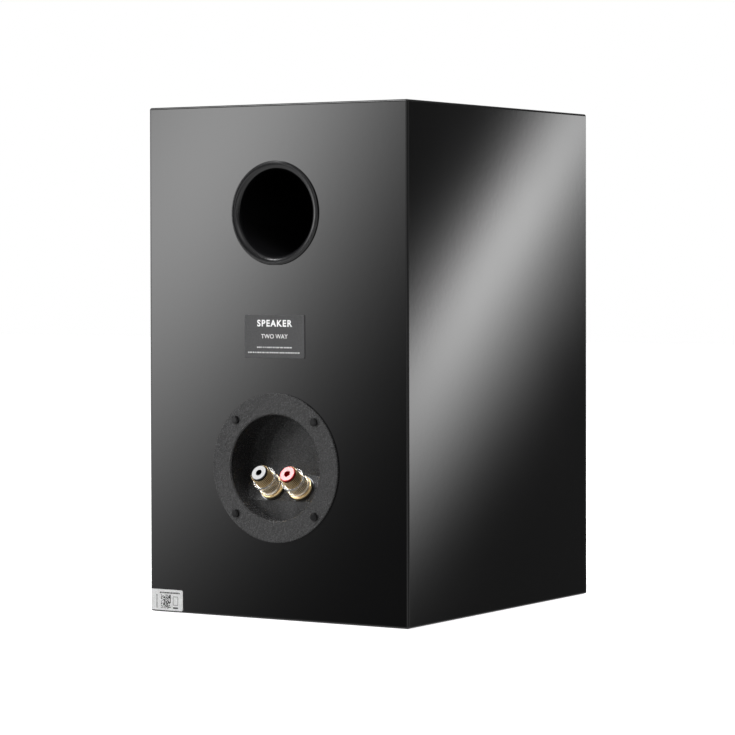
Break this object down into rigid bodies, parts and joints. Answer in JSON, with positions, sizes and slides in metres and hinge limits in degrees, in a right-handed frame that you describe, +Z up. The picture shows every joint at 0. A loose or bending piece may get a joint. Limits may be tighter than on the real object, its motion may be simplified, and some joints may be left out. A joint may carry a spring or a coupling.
{
  "type": "bookshelf speaker",
  "caption": "Two-way bookshelf speaker: gloss black ported cabinet, woofer and dome tweeter in front, round recessed terminal cup with clear-sleeved binding posts behind.",
  "frame": {"origin": "centre of the cabinet's footprint, on the underside it stands on", "axes": "+Z up, -Y the way the drivers face, +Y the terminal side, +X the cabinet's right seen from the front"},
  "size_m": [0.2042, 0.2567, 0.34],
  "materials": {
    "lacquer": "gloss black lacquer over MDF",
    "bare_mdf": "bare MDF",
    "wadding": "white polyester wadding",
    "port_plastic": "satin black moulding",
    "label_film": "satin grey label",
    "sticker_paper": "satin paper film",
    "textured_plastic": "fine spark-eroded texture",
    "foam": "closed-cell foam",
    "black_steel": "black zinc",
    "gold": "gold plate on brass",
    "black_plastic": "gloss black plastic",
    "red_plastic": "gloss red plastic",
    "clear_plastic": "clear polycarbonate",
    "nickel": "nickel plate",
    "basket_metal": "satin black powder coat",
    "motor_steel": "zinc-plated steel",
    "ferrite": "sintered ferrite",
    "surround_rubber": "satin butyl rubber",
    "spider_cloth": "resin-stiffened cotton",
    "cone_paper": "woven matt black cone",
    "dust_cap": "satin black",
    "coil_former": "thin aluminium",
    "copper": "enamelled copper wire",
    "faceplate_plastic": "satin black moulding",
    "dome_silk": "coated silk",
    "circuit_board": "paper-phenolic board",
    "capacitor_film": "film-wrapped capacitor",
    "cement": "ceramic cement body",
    "lead_insulation": "PVC insulation"
  },
  "bodies": {
    "cabinet": {"top_panel": "lacquer", "bottom_panel": "lacquer", "left_side_panel": "lacquer", "right_side_panel": "lacquer", "front_baffle": "lacquer", "rear_panel": "lacquer", "cabinet_brace": "bare_mdf", "wadding_upper": "wadding", "wadding_lower": "wadding", "port_tube": "port_plastic", "rating_plate": "label_film", "serial_sticker": "sticker_paper", "terminal_cup": "textured_plastic", "cup_gasket": "foam", "woofer_gasket": "foam", "tweeter_gasket": "foam", "cup_screws": "black_steel", "driver_screws": "black_steel", "post_stud_negative": "gold", "post_stud_positive": "gold", "post_bushings": "black_plastic", "woofer_terminals": "black_plastic", "tweeter_terminals": "black_plastic", "post_nuts": "nickel", "post_tags": "nickel", "crossover_standoffs": "nickel", "woofer_basket": "basket_metal", "woofer_top_plate": "motor_steel", "woofer_yoke": "motor_steel", "tweeter_top_plate": "motor_steel", "tweeter_yoke": "motor_steel", "woofer_magnet": "ferrite", "tweeter_magnet": "ferrite", "woofer_surround": "surround_rubber", "woofer_spider": "spider_cloth", "woofer_tinsel_leads": "copper", "crossover_inductors": "copper", "tweeter_faceplate": "faceplate_plastic", "tweeter_surround": "dome_silk", "crossover_board": "circuit_board", "crossover_capacitors": "capacitor_film", "crossover_resistors": "cement", "input_leads": "lead_insulation", "woofer_leads": "lead_insulation", "tweeter_leads": "lead_insulation"},
    "woofer_moving": {"woofer_cone": "cone_paper", "woofer_dust_cap": "dust_cap", "woofer_coil_former": "coil_former", "woofer_winding": "copper"},
    "tweeter_moving": {"tweeter_dome": "dome_silk", "tweeter_coil_former": "coil_former", "tweeter_winding": "copper"},
    "negative_clamp": {"clamp_washer_negative": "gold"},
    "negative_knob": {"knob_insert_negative": "gold", "knob_tip_negative": "black_plastic", "knob_sleeve_negative": "clear_plastic"},
    "positive_clamp": {"clamp_washer_positive": "gold"},
    "positive_knob": {"knob_insert_positive": "gold", "knob_tip_positive": "red_plastic", "knob_sleeve_positive": "clear_plastic"}
  },
  "joints": [
    {"name": "woofer_excursion", "type": "slide", "parent": "cabinet", "child": "woofer_moving", "axis": [0, -1, 0], "range_m": [-0.005, 0.005], "stiffness_N_per_m": 1100, "deforming": ["woofer_surround", "woofer_spider", "woofer_tinsel_leads"]},
    {"name": "tweeter_excursion", "type": "slide", "parent": "cabinet", "child": "tweeter_moving", "axis": [0, -1, 0], "range_m": [-0.0005, 0.0005], "stiffness_N_per_m": 1500, "deforming": ["tweeter_surround"]},
    {"name": "negative_clamp_travel", "type": "slide", "parent": "cabinet", "child": "negative_clamp", "axis": [0, 0.8387, 0.5446], "range_m": [0, 0.006]},
    {"name": "negative_knob_turn", "type": "hinge", "parent": "negative_clamp", "child": "negative_knob", "pos_m": [0.0112, 0.11751, 0.09155], "axis": [0, 0.8387, 0.5446], "range_deg": [0, 2160]},
    {"name": "positive_clamp_travel", "type": "slide", "parent": "cabinet", "child": "positive_clamp", "axis": [0, 0.8387, 0.5446], "range_m": [0, 0.006]},
    {"name": "positive_knob_turn", "type": "hinge", "parent": "positive_clamp", "child": "positive_knob", "pos_m": [-0.0112, 0.11751, 0.09155], "axis": [0, 0.8387, 0.5446], "range_deg": [0, 2160]}
  ],
  "couplings": [
    {"joint": "negative_knob_turn", "follows": "negative_clamp_travel", "rad_per_m": 6283.2},
    {"joint": "positive_knob_turn", "follows": "positive_clamp_travel", "rad_per_m": 6283.2}
  ]
}
